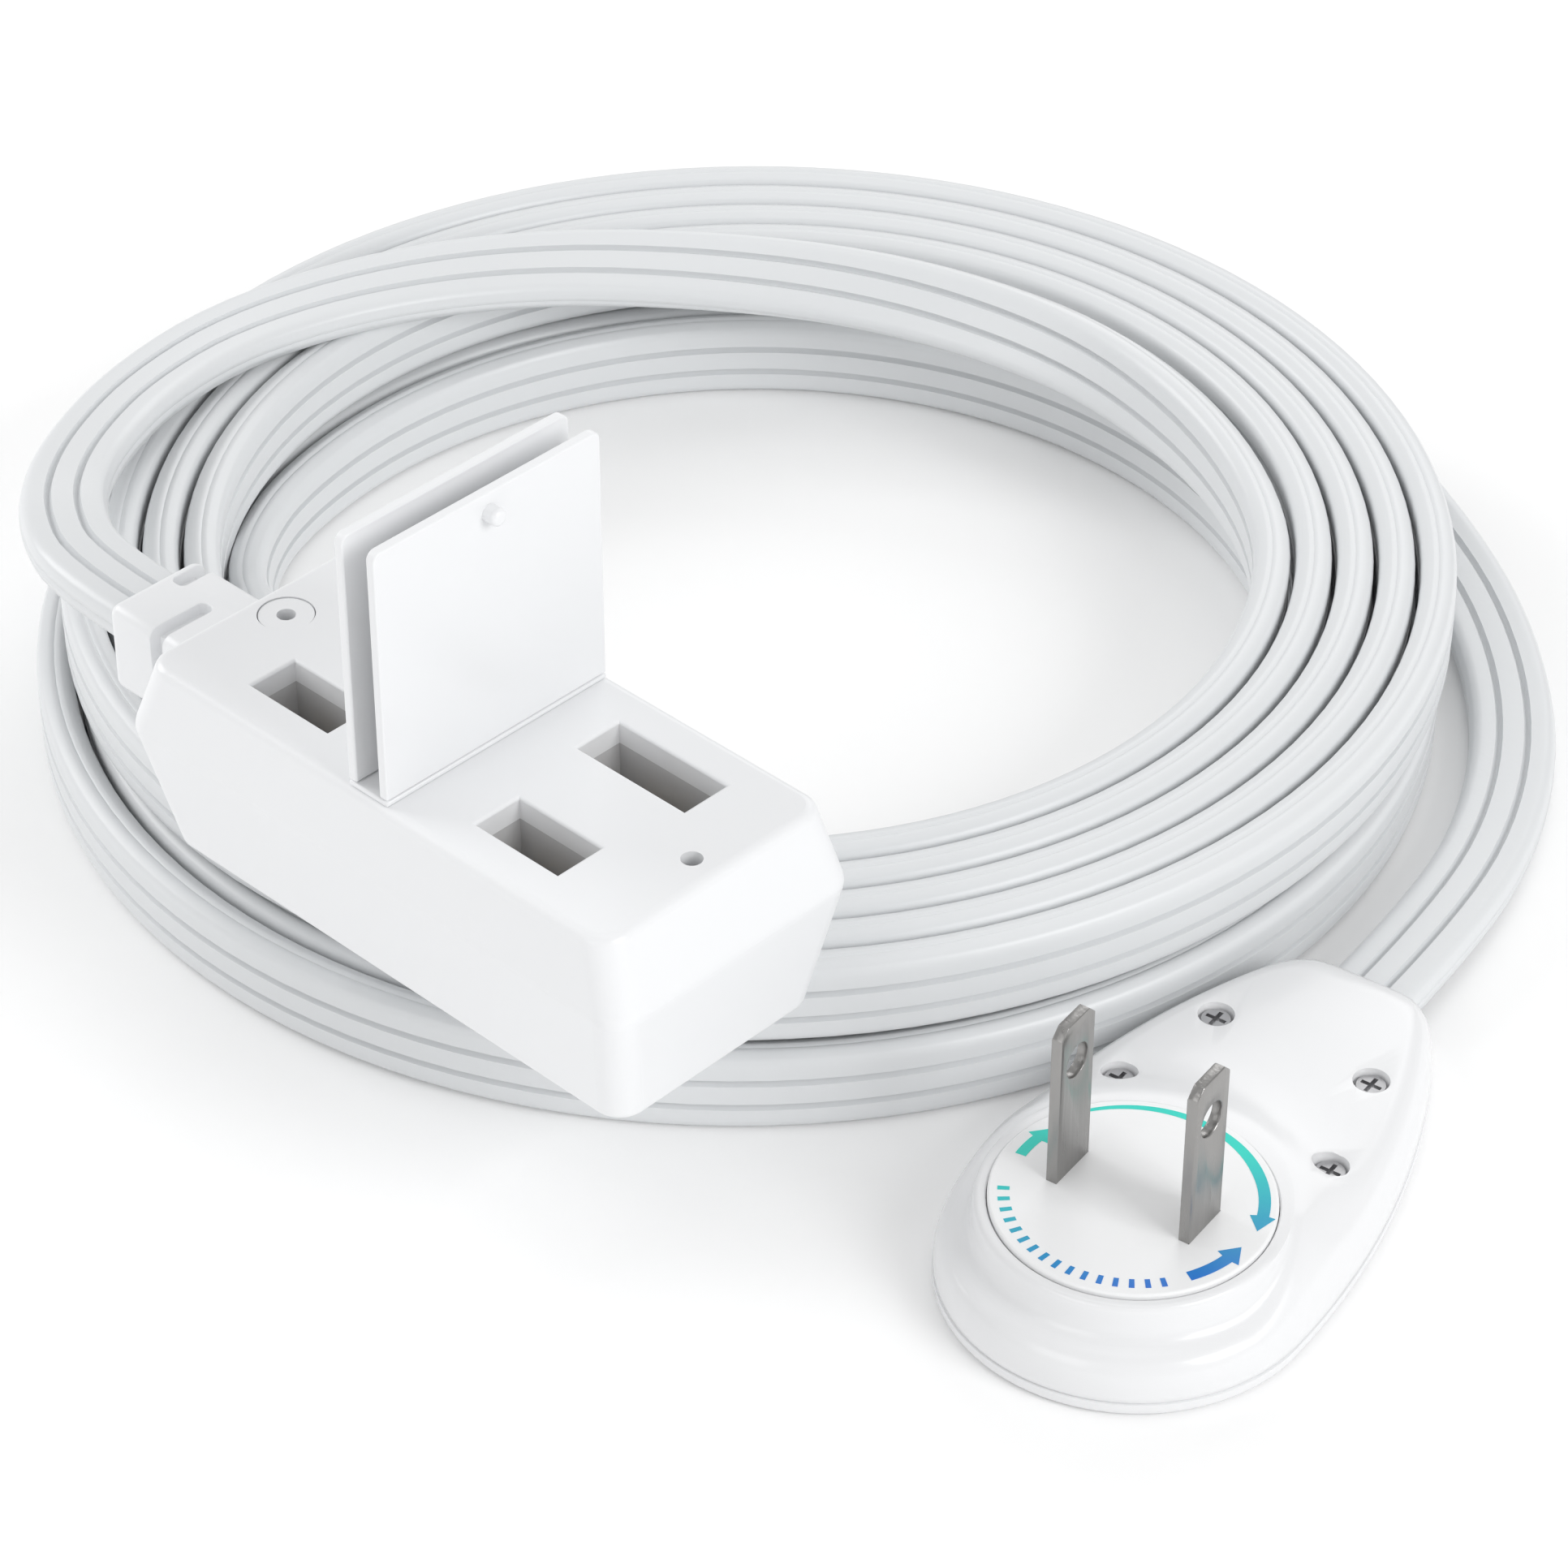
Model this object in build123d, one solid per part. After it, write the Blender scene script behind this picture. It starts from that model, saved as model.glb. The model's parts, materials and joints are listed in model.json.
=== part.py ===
from build123d import *
import os
from math import cos, radians, sin, tan

os.makedirs("parts", exist_ok=True)

# A flat two-conductor extension cord, in millimetres. The origin is on the floor, under the
# middle of the outlet block. +X runs from the block's cord end to its far end, +Z is up.

# ---------------------------------------------------------------- cord and coil
CORD_W = 8.1                # across the broad face
CORD_T = 3.4                # across the thin edge
CORD_EDGE_R = 1.2           # rounding of the cord's section
CORE_R = 0.9                # one insulated core
CORE_SPREAD = 5.4           # between the two cores
TIER_GAP = 0.6              # air between the two tiers of turns, which stand on edge
CROSSING_SINK = 0.2         # how far the crossing strand beds into the turns below it
LOWER_CENTRE = (-27.5, 59.6)
LOWER_OUTER_R = 67.0
LOWER_INNER_R = 49.5
UPPER_CENTRE = (-29.2, 61.2)
UPPER_OUTER_R = 67.6
UPPER_INNER_R = 46.5

# ---------------------------------------------------------------- outlet block
BLOCK_L = 59.2              # at the crease, its widest level
BLOCK_W = 27.6
BLOCK_H = 19.45
CREASE_DROP = 7.0           # from the top face down to the crease, where the shells part
TOP_IN_X = 2.4              # how far each face lies in from the crease
TOP_IN_Y = 1.1
BASE_IN_X = 2.3
BASE_IN_Y = 2.45
BLOCK_CORNER_R = 2.6
TOP_EDGE_R = 1.0
CREASE_R = 2.0
BASE_EDGE_R = 0.8
SLOT_RIM_R = 0.3
BLOCK_WALL = 1.9
TOP_WALL = 2.15
FLOOR_WALL = 1.8

OUTLET_FROM_END = 16.1      # each outlet's middle, from the block's end
SLOT_SPACING = 12.7         # between the middles of an outlet's two slots
WIDE_SLOT_L = 12.3
NARROW_SLOT_L = 9.4
SLOT_W = 4.8
CARRIER_END_WALL = 1.6      # carrier beyond a wide slot's end
CARRIER_SIDE_WALL = 1.6
FIT_GAP = 0.1               # between pieces that drop into each other

BUS_T = 0.8
BUS_W = 6.0
BUS_RISE = 3.2              # ribs that carry the bus bars above the floor
RIB_T = 1.5
LEAF_T = 0.5
LEAF_L = 7.0
LEAF_GAP = 1.6
LEAF_DEPTH = 5.6            # from the top face down to the contact leaves
TAB_T = 0.8
TAB_W = 4.3
TAB_GAP = 0.4               # from the boot's collar to the tab
TAB_OVER_CORE = 0.4
BAR_PAST_LEAF = 1.0

BOSS_FROM_END = 6.0
BOSS_FROM_SIDE = 5.6
BOSS_R = 1.9
SCREW_R = 0.8
SCREW_HEAD_R = 1.6
SCREW_HEAD_H = 1.2
SCREW_REACH = 3.4           # thread above the crease
HEAD_CLEAR = 0.1
DRIVE_W = 0.4
DRIVE_DEPTH = 0.5

CATCH_FRONT_FROM_END = 5.2
CATCH_REAR_FROM_END = 5.9
PEG_R_FRONT = 0.8
PEG_R_REAR = 0.7
PEG_L = 1.4
PEG_TIP_R = 0.45
PEG_CLEAR = 0.13
CATCH_DISC_R = 2.4
CATCH_DISC_T = 0.9

# ---------------------------------------------------------------- flaps
STRIP_HALF = 2.28           # hinge strip's half width, and each hinge line's distance
STRIP_T = 0.5
FLAP_T = 0.93
FLAP_SIDE_IN = 0.4          # how far a flap's sides lie in from the top face's
FLAP_END_IN = 0.87          # and its free end, once closed
FLAP_FOOT_GAP = 0.1
FLAP_CORNER_R = 0.9
FLAP_EDGE_R = 0.2

# ---------------------------------------------------------------- strain relief
RELIEF_L = 12.2             # from the crease out
RELIEF_W = 10.2
RELIEF_H = 8.8
RELIEF_TOP_DROP = 5.35      # from the block's top face
RELIEF_EDGE_R = 1.1
CORD_DROP = 8.65            # from the block's top face to the cord's middle
NECK_W = 8.2
NECK_H = 6.2
NECK_L = 4.7
COLLAR_T = 1.3
COLLAR_OVER = 1.0
FLEX_W = 1.6                # two half slots that let the boot bend
FLEX_DEPTH = 1.2
FLEX_FROM_END = (2.0, 6.5)
FLEX_PAST_MIDDLE = (-1.2, 1.0)
FLEX_CORNER_R = 0.6

# ---------------------------------------------------------------- rotating plug
PLUG_NESTLE = 1.5           # how far the plug tucks in beside the coil
PLUG_Y = 20.6
PLUG_TURN = 99.0            # direction of the plug's tail, anticlockwise from +X
PLUG_RIM = 1.3              # of the round end, outside its ledge
TAIL_L = 40.0
TAIL_CORNER_X = 37.4
TAIL_CORNER_Y = 7.8
TAIL_END_HALF = 5.2
SIDE_START = 92.0           # where the round end gives way to the tapering side, degrees
PLUG_SEAM_Z = 1.3
PLUG_FOOT_R = 0.7
TAIL_H = 7.0
PLUG_EDGE_R = 2.3
PLUG_WALL = 2.3
PLUG_CAVITY_Z = 4.3
COLLAR_WALL = 1.07
COLLAR_Z = 8.9
COLLAR_EDGE_R = 0.5
LEDGE_W = 1.9               # concave ledge round the blunt end
LEDGE_Z = 4.7

ROTOR_R = 11.95
ROTOR_TOP_Z = 9.3
ROTOR_FIT = 0.08
ROTOR_EDGE_R = 0.25
FLANGE_OUT = 0.65
FLANGE_Z = 5.9
FLANGE_T = 1.0
FLOAT = 0.1                 # end play of the rotor, each way
RETAINER_W = 2.0
RETAINER_Z = 4.7
BLADE_W = 5.0
BLADE_T = 1.0
BLADE_OUT = 16.0
BLADE_SPACING = 12.7
BLADE_TIP = 0.9
BLADE_HOLE_R = 1.6
BLADE_HOLE_UP = 11.6
FOOT_T = 0.6
FOOT_SHORT = 0.6            # how far a foot stops short of its ring's far edge
RING_T = 0.5
INNER_RING_R = 3.2          # inside edge of the inner ring
RING_W = 2.0
RING_CLEAR = 0.3            # from the outer ring to the retainer
BRUSH_W = 1.6
BRUSH_T = 0.6
BRUSH_LUG = 2.0
BRUSH_END_X = 15.0
CLAMP_X = 34.0
CLAMP_T = 3.0
CLAMP_HALF = 5.0
PLUG_SCREWS = ((14.6, 10.3), (26.1, 7.65))
PLUG_SCREW_R = 0.7
PLUG_BOSS_R = 2.0
PLUG_HEAD_R = 1.28
PLUG_HEAD_H = 0.9
PLUG_HEAD_Z = 5.6
PLUG_HEAD_CLEAR = 0.1
PLUG_SCREW_FOOT = 1.6

JOIN = 0.2                  # how far two parts of one piece run into each other
CUT = 1.0                   # how far a cut runs past the surface it opens
TINY = 0.01                 # for picking edges by their place

# ---------------------------------------------------------------- worked-out places
COIL_TOP = 2 * CORD_W + TIER_GAP
BASE_Z = COIL_TOP + CORD_T          # the block rests on the strand that crosses the coil
TOP_Z = BASE_Z + BLOCK_H
CREASE_Z = TOP_Z - CREASE_DROP
INNER_TOP_Z = TOP_Z - TOP_WALL
FLOOR_Z = BASE_Z + FLOOR_WALL
BUS_Z = FLOOR_Z + BUS_RISE
CORD_Z = TOP_Z - CORD_DROP
HINGE_Z = TOP_Z + STRIP_T
RELIEF_END_X = -(BLOCK_L / 2 + RELIEF_L)
SLOT_Y = SLOT_SPACING / 2
OUTLET_X = BLOCK_L / 2 - OUTLET_FROM_END
BOSS_X = BLOCK_L / 2 - BOSS_FROM_END
BOSS_Y = BLOCK_W / 2 - BOSS_FROM_SIDE
CATCH_X_FRONT = BLOCK_L / 2 - CATCH_FRONT_FROM_END
CATCH_X_REAR = BLOCK_L / 2 - CATCH_REAR_FROM_END
TAB_X = NECK_L + TAB_GAP - BLOCK_L / 2
FLAP_W = BLOCK_W - 2 * (TOP_IN_Y + FLAP_SIDE_IN)
FLAP_H = BLOCK_L / 2 - TOP_IN_X - STRIP_HALF - FLAP_END_IN
CORE_Y = CORE_SPREAD / 2
PLUG_CORD_Z = PLUG_SEAM_Z + CORD_T / 2
CROSSING_Z = COIL_TOP + CORD_T / 2 - CROSSING_SINK
COLLAR_R = ROTOR_R + ROTOR_FIT + COLLAR_WALL
LEDGE_R = COLLAR_R + LEDGE_W
PLUG_R = LEDGE_R + PLUG_RIM
PLUG_X = LOWER_CENTRE[0] + LOWER_OUTER_R + PLUG_R - PLUG_NESTLE
FLANGE_R = ROTOR_R + FLANGE_OUT
RETAINER_OUT_R = FLANGE_R + FLOAT
RETAINER_IN_R = RETAINER_OUT_R - RETAINER_W
INNER_RING = (INNER_RING_R, INNER_RING_R + RING_W)
OUTER_RING = (RETAINER_IN_R - RING_CLEAR - RING_W, RETAINER_IN_R - RING_CLEAR)
AT_PLUG = Location((PLUG_X, PLUG_Y, 0), (0, 0, PLUG_TURN))


def on_plug_axis(x):
    """A point on the plug's long axis, at the height where the cord leaves it."""
    turn = radians(PLUG_TURN)
    return (PLUG_X + x * cos(turn), PLUG_Y + x * sin(turn), PLUG_CORD_Z)


# The cord's free stretches, from the piece that holds them to the coil.
BLOCK_LEAD = [
    (RELIEF_END_X, 0, CORD_Z), (RELIEF_END_X - 9.5, 0, CORD_Z), (-60.2, 4.8, 29.0),
    (-69.6, 12.4, 24.9), (-77.4, 21.6, 21.8), (-83.2, 32.6, 20.0), (-85.4, 46.0, 19.4),
    (-82.0, 61.5, 19.1), (-74.2, 76.0, 18.7), (-63.0, 88.8, 18.5), (-49.5, 99.6, 17.8)]
PLUG_LEAD = [
    on_plug_axis(TAIL_L), on_plug_axis(TAIL_L + 9), (42.6, 84.0, 2.1), (35.5, 97.5, 1.75),
    (25.5, 108.9, 1.75), (12.5, 118.5, 1.75), (-6.0, 126.5, 1.75)]
CROSSING = [
    (-47.0, 22.0, 15.5), (-32.0, 12.0, CROSSING_Z), (-12.5, 5.0, CROSSING_Z),
    (7.5, 7.5, CROSSING_Z - 0.4), (23.0, 20.0, 14.5)]


def box(x0, x1, y0, y1, z0, z1):
    """A box between two opposite corners."""
    middle = Pos((x0 + x1) / 2, (y0 + y1) / 2, (z0 + z1) / 2)
    return middle * Box(x1 - x0, y1 - y0, z1 - z0)


def rod(x, y, z0, z1, radius):
    """An upright cylinder."""
    return Pos(x, y, (z0 + z1) / 2) * Cylinder(radius, z1 - z0)


def level(z, length, width, corner):
    """A rounded rectangle at one height, centred on the Z axis."""
    return Pos(0, 0, z) * RectangleRounded(length, width, corner)


def ring(x, y, z0, z1, inner, outer):
    """A flat washer."""
    return rod(x, y, z0, z1, outer) - rod(x, y, z0 - CUT, z1 + CUT, inner)


# ---------------------------------------------------------------- outlet block
def upper_half(inset, z1):
    """The block's upper half, from the crease up, drawn in by inset on every side."""
    slope = (z1 - CREASE_Z) / CREASE_DROP
    corner = BLOCK_CORNER_R - min(inset, BLOCK_CORNER_R / 2)
    low = level(CREASE_Z, BLOCK_L - 2 * inset, BLOCK_W - 2 * inset, corner)
    high = level(z1, BLOCK_L - 2 * (inset + slope * TOP_IN_X),
                 BLOCK_W - 2 * (inset + slope * TOP_IN_Y), corner)
    return loft([low, high], ruled=True)


def lower_half(inset, z0):
    """The block's lower half, from z0 up to the crease, drawn in by inset on every side."""
    slope = (CREASE_Z - z0) / (BLOCK_H - CREASE_DROP)
    corner = BLOCK_CORNER_R - min(inset, BLOCK_CORNER_R / 2)
    low = level(z0, BLOCK_L - 2 * (inset + slope * BASE_IN_X),
                BLOCK_W - 2 * (inset + slope * BASE_IN_Y), corner)
    high = level(CREASE_Z, BLOCK_L - 2 * inset, BLOCK_W - 2 * inset, corner)
    return loft([low, high], ruled=True)


def at_height(shape, z):
    """The edges of a shape that lie at one height."""
    return shape.edges().filter_by_position(Axis.Z, z - TINY, z + TINY)


def block_body():
    """The block's whole outer shape, rounded along its top, its crease and its foot."""
    body = upper_half(0, TOP_Z) + lower_half(0, BASE_Z)
    body = fillet(at_height(body, CREASE_Z), CREASE_R)
    body = fillet(at_height(body, TOP_Z), TOP_EDGE_R)
    return fillet(at_height(body, BASE_Z), BASE_EDGE_R)


def slots(z0, z1):
    """The four slots: a wide and a narrow one for each outlet."""
    cuts = []
    for x in (-OUTLET_X, OUTLET_X):
        for y, length in ((SLOT_Y, WIDE_SLOT_L), (-SLOT_Y, NARROW_SLOT_L)):
            cuts.append(box(x - length / 2, x + length / 2, y - SLOT_W / 2, y + SLOT_W / 2,
                            z0, z1))
    return cuts


def boss_places():
    return [(x, y) for x in (-BOSS_X, BOSS_X) for y in (-BOSS_Y, BOSS_Y)]


def block_cover():
    outer = block_body() & box(-BLOCK_L, BLOCK_L, -BLOCK_W, BLOCK_W, CREASE_Z, TOP_Z + CUT)
    cover = outer - upper_half(BLOCK_WALL, INNER_TOP_Z)
    for x, y in boss_places():
        cover += rod(x, y, CREASE_Z, INNER_TOP_Z + JOIN, BOSS_R) & outer
    for x, y in boss_places():
        cover -= rod(x, y, CREASE_Z - CUT, CREASE_Z + SCREW_REACH, SCREW_R)
    for cut in slots(INNER_TOP_Z - CUT, TOP_Z + CUT):
        cover -= cut
    rims = [edge for edge in at_height(cover, TOP_Z).filter_by(GeomType.LINE)
            if abs(edge.center().Y) < SLOT_Y + SLOT_W / 2 + TINY
            and abs(edge.center().X) < OUTLET_X + WIDE_SLOT_L / 2 + TINY]
    cover = fillet(rims, SLOT_RIM_R)
    cover -= rod(CATCH_X_FRONT, 0, INNER_TOP_Z - CUT, TOP_Z + CUT, PEG_R_FRONT + PEG_CLEAR)
    cover -= rod(-CATCH_X_REAR, 0, INNER_TOP_Z - CUT, TOP_Z + CUT, PEG_R_REAR + PEG_CLEAR)
    cover -= rod(-CATCH_X_REAR, 0, TOP_Z - CATCH_DISC_T - FIT_GAP, TOP_Z + CUT,
                 CATCH_DISC_R + FIT_GAP)
    return cover


def neck_notch():
    """Where the strain relief passes through the lower shell's end wall."""
    return box(-BLOCK_L / 2 - CUT, -BLOCK_L / 2 + NECK_L, -NECK_W / 2, NECK_W / 2,
               CREASE_Z - NECK_H, CREASE_Z)


def block_base():
    shape = block_body() & box(-BLOCK_L, BLOCK_L, -BLOCK_W, BLOCK_W, BASE_Z - CUT, CREASE_Z)
    base = shape - lower_half(BLOCK_WALL, FLOOR_Z)
    for x in (-OUTLET_X, 0, OUTLET_X):
        base += box(x - RIB_T / 2, x + RIB_T / 2, -SLOT_Y - BUS_W / 2, SLOT_Y + BUS_W / 2,
                    FLOOR_Z - JOIN, BUS_Z)
    for x, y in boss_places():
        base += rod(x, y, FLOOR_Z - JOIN, CREASE_Z, BOSS_R) & shape
    for x, y in boss_places():
        base -= rod(x, y, BASE_Z - CUT, CREASE_Z + CUT, SCREW_R)
        base -= rod(x, y, BASE_Z - CUT, BASE_Z + SCREW_HEAD_H, SCREW_HEAD_R + HEAD_CLEAR)
    return base - neck_notch()


def cross_drive(x, y, z0, z1, reach):
    """The cross-shaped recess of a screw's head."""
    one = box(x - reach, x + reach, y - DRIVE_W / 2, y + DRIVE_W / 2, z0, z1)
    other = box(x - DRIVE_W / 2, x + DRIVE_W / 2, y - reach, y + reach, z0, z1)
    return one + other


def base_screw(x, y):
    screw = rod(x, y, BASE_Z, BASE_Z + SCREW_HEAD_H, SCREW_HEAD_R)
    screw += rod(x, y, BASE_Z + SCREW_HEAD_H, CREASE_Z + SCREW_REACH, SCREW_R)
    return screw - cross_drive(x, y, BASE_Z - CUT, BASE_Z + DRIVE_DEPTH, 0.7 * SCREW_HEAD_R)


def contact_carrier():
    """The moulding under the slots. It clears the walls, the bosses and the cord's tabs."""
    half_x = OUTLET_X + WIDE_SLOT_L / 2 + CARRIER_END_WALL
    half_y = SLOT_Y + SLOT_W / 2 + CARRIER_SIDE_WALL
    inset = BLOCK_WALL + FIT_GAP
    room = upper_half(inset, INNER_TOP_Z) + lower_half(inset, FLOOR_Z)
    carrier = box(-half_x, half_x, -half_y, half_y, BUS_Z + BUS_T, INNER_TOP_Z) & room
    for cut in slots(BUS_Z, INNER_TOP_Z + CUT):
        carrier -= cut
    for x, y in boss_places():
        carrier -= rod(x, y, BUS_Z, TOP_Z, BOSS_R + FIT_GAP)
    for side in (-1, 1):
        carrier -= box(-BLOCK_L, TAB_X + TAB_T + FIT_GAP, *tab_reach(side, FIT_GAP), BUS_Z,
                       CORD_Z + CORE_R + TAB_OVER_CORE + FIT_GAP)
    return carrier


def tab_reach(side, clearance):
    """From one side of a core's tab to the other."""
    near = CORE_Y - TAB_W / 4 - clearance
    far = CORE_Y + 3 * TAB_W / 4 + clearance
    return sorted((side * near, side * far))


def bus_bar(side):
    """A brass bar with two leaves under each slot and a tab that takes the cord's core."""
    y = side * SLOT_Y
    end = OUTLET_X + LEAF_L / 2 + BAR_PAST_LEAF
    bar = box(-end, end, y - BUS_W / 2, y + BUS_W / 2, BUS_Z, BUS_Z + BUS_T)
    for x in (-OUTLET_X, OUTLET_X):
        for edge in (-1, 1):
            middle = y + edge * (LEAF_GAP + LEAF_T) / 2
            bar += box(x - LEAF_L / 2, x + LEAF_L / 2, middle - LEAF_T / 2,
                       middle + LEAF_T / 2, BUS_Z, TOP_Z - LEAF_DEPTH)
    reach = tab_reach(side, 0)
    bar += box(TAB_X, BAR_PAST_LEAF - end, *reach, BUS_Z, BUS_Z + BUS_T)
    return bar + box(TAB_X, TAB_X + TAB_T, *reach, BUS_Z, CORD_Z + CORE_R + TAB_OVER_CORE)


def core_in_block(side):
    """One insulated core, from the cord's end through the boot to the bus bar's tab."""
    middle = Pos((RELIEF_END_X + TAB_X) / 2, side * CORE_Y, CORD_Z)
    return middle * Rot(0, 90, 0) * Cylinder(CORE_R, TAB_X - RELIEF_END_X)


def catch_disc():
    disc = rod(-CATCH_X_REAR, 0, TOP_Z - CATCH_DISC_T - FIT_GAP, TOP_Z - FIT_GAP, CATCH_DISC_R)
    return disc - rod(-CATCH_X_REAR, 0, CREASE_Z, TOP_Z + CUT, PEG_R_REAR + PEG_CLEAR)


def strain_relief():
    top = TOP_Z - RELIEF_TOP_DROP
    boot = box(RELIEF_END_X, -BLOCK_L / 2 + NECK_L - COLLAR_T, -RELIEF_W / 2, RELIEF_W / 2,
               top - RELIEF_H, top)
    boot = fillet(boot.edges().filter_by(Axis.X) + boot.edges().group_by(Axis.X)[0],
                  RELIEF_EDGE_R)
    for from_end, past, side in zip(FLEX_FROM_END, FLEX_PAST_MIDDLE, (1, -1)):
        x = RELIEF_END_X + from_end
        across = sorted((-side * past, side * RELIEF_W))
        slot = box(x - FLEX_W / 2, x + FLEX_W / 2, *across, top - RELIEF_H - CUT, top + CUT)
        core = box(x - FLEX_W, x + FLEX_W, FLEX_DEPTH - RELIEF_W / 2, RELIEF_W / 2 - FLEX_DEPTH,
                   top - RELIEF_H + FLEX_DEPTH, top - FLEX_DEPTH)
        slot = fillet(slot.edges().filter_by(Axis.Z), FLEX_CORNER_R)
        boot -= slot - core
    boot -= block_body()
    neck = neck_notch() & block_body()
    collar = box(-BLOCK_L / 2 + NECK_L - COLLAR_T, -BLOCK_L / 2 + NECK_L,
                 -NECK_W / 2 - COLLAR_OVER, NECK_W / 2 + COLLAR_OVER,
                 CREASE_Z - NECK_H, CREASE_Z + COLLAR_OVER)
    boot += neck + collar
    for side in (-1, 1):
        boot -= core_in_block(side)
    return boot


# ---------------------------------------------------------------- flaps
def hinge_strip():
    return box(-STRIP_HALF, STRIP_HALF, -FLAP_W / 2, FLAP_W / 2, TOP_Z, HINGE_Z)


def flap(side, catch_x, peg_r):
    """One upright flap. Its peg stands as far from the hinge line as its catch hole does."""
    outer = side * STRIP_HALF
    foot = HINGE_Z + FLAP_FOOT_GAP
    plate = box(*sorted((outer, outer - side * FLAP_T)), -FLAP_W / 2, FLAP_W / 2,
                foot, HINGE_Z + FLAP_H)
    top_corners = plate.edges().filter_by(Axis.X).group_by(Axis.Z)[-1]
    plate = fillet(top_corners, FLAP_CORNER_R)
    plate = fillet(plate.edges(), FLAP_EDGE_R)
    peg = Cylinder(peg_r, PEG_L, align=(Align.CENTER, Align.CENTER, Align.MIN))
    peg = fillet(peg.edges().group_by(Axis.Z)[-1], PEG_TIP_R)
    return plate + Pos(outer, 0, HINGE_Z + catch_x - STRIP_HALF) * Rot(0, side * 90, 0) * peg


# ---------------------------------------------------------------- cord
def cord_tube(points, label):
    """The flat cord along straight runs and tangent arcs, each as large as its runs allow."""
    ends = [Vector(*p) for p in points]
    runs = [b - a for a, b in zip(ends, ends[1:])]
    radii = []
    for one, two in zip(runs, runs[1:]):
        half_turn = radians(one.get_angle(two)) / 2
        radii.append(0.45 * min(one.length, two.length) / tan(half_turn))
    path = FilletPolyline(*points, radius=radii)
    across = Vector(-runs[0].Y, runs[0].X, 0)
    start = Plane(origin=ends[0], x_dir=across, z_dir=runs[0])
    section = start * RectangleRounded(CORD_W, CORD_T, CORD_EDGE_R)
    tube = sweep(section, path=path)
    print(label, "arc radii", [round(r, 1) for r in radii], "length", round(path.length, 1),
          "volume over section x length", round(tube.volume / (section.area * path.length), 4))
    return tube


def coil():
    """Two tiers of turns as one solid ring of their outer shape."""
    join = CORD_W + TIER_GAP / 2
    lower = ring(*LOWER_CENTRE, 0, join, LOWER_INNER_R, LOWER_OUTER_R)
    return lower + ring(*UPPER_CENTRE, join, COIL_TOP, UPPER_INNER_R, UPPER_OUTER_R)


# ---------------------------------------------------------------- plug, in its own frame
def plug_outline():
    """Round end about the rotor's axis, tapering sides and a blunt tail."""
    turn = radians(SIDE_START)
    start_x, start_y = PLUG_R * cos(turn), PLUG_R * sin(turn)
    with BuildSketch() as outline:
        with BuildLine():
            ThreePointArc((start_x, start_y), (-PLUG_R, 0), (start_x, -start_y))
            for side in (1, -1):
                TangentArc((start_x, side * start_y), (TAIL_CORNER_X, side * TAIL_CORNER_Y),
                           tangent=(sin(turn), -side * cos(turn)))
                Line((TAIL_CORNER_X, side * TAIL_CORNER_Y), (TAIL_L, side * TAIL_END_HALF))
            Line((TAIL_L, TAIL_END_HALF), (TAIL_L, -TAIL_END_HALF))
        make_face()
    return outline.sketch


def plug_screw_places():
    return [(x, side * y) for x, y in PLUG_SCREWS for side in (-1, 1)]


def core_in_plug(side):
    middle = Pos((TAIL_L + BRUSH_END_X) / 2, side * CORE_Y, PLUG_CORD_Z)
    return middle * Rot(0, 90, 0) * Cylinder(CORE_R, TAIL_L - BRUSH_END_X)


def plug_front_shell():
    shell = extrude(Pos(0, 0, PLUG_SEAM_Z) * plug_outline(), TAIL_H - PLUG_SEAM_Z)
    shell = fillet(shell.edges().group_by(Axis.Z)[-1], PLUG_EDGE_R)
    ledge = box(-2 * PLUG_R, 0, -2 * PLUG_R, 2 * PLUG_R, LEDGE_Z, TAIL_H + CUT)
    shell -= ledge - rod(0, 0, LEDGE_Z - CUT, TAIL_H + 2 * CUT, LEDGE_R)
    collar = rod(0, 0, LEDGE_Z, COLLAR_Z, COLLAR_R)
    shell += fillet(collar.edges().group_by(Axis.Z)[-1], COLLAR_EDGE_R)
    cavity = offset(plug_outline(), amount=-PLUG_WALL)
    shell -= extrude(Pos(0, 0, PLUG_SEAM_Z - CUT) * cavity, PLUG_CAVITY_Z - PLUG_SEAM_Z + CUT)
    shell -= rod(0, 0, PLUG_CAVITY_Z - CUT, FLANGE_Z + FLANGE_T + FLOAT, FLANGE_R + FLOAT)
    shell -= rod(0, 0, FLANGE_Z, COLLAR_Z + CUT, ROTOR_R + ROTOR_FIT)
    for x, y in plug_screw_places():
        shell -= rod(x, y, PLUG_SEAM_Z, TAIL_H + CUT, PLUG_SCREW_R)
        shell -= rod(x, y, PLUG_HEAD_Z, TAIL_H + CUT, PLUG_HEAD_R + PLUG_HEAD_CLEAR)
    for side in (-1, 1):
        shell -= core_in_plug(side)
    return shell


def plug_back_shell():
    shell = extrude(plug_outline(), PLUG_SEAM_Z)
    shell = fillet(shell.edges().group_by(Axis.Z)[0], PLUG_FOOT_R)
    for x, y in plug_screw_places():
        shell += rod(x, y, PLUG_SEAM_Z - JOIN, PLUG_CAVITY_Z, PLUG_BOSS_R)
    for x, y in plug_screw_places():
        shell -= rod(x, y, PLUG_SCREW_FOOT, PLUG_CAVITY_Z + CUT, PLUG_SCREW_R)
    return shell


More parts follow.
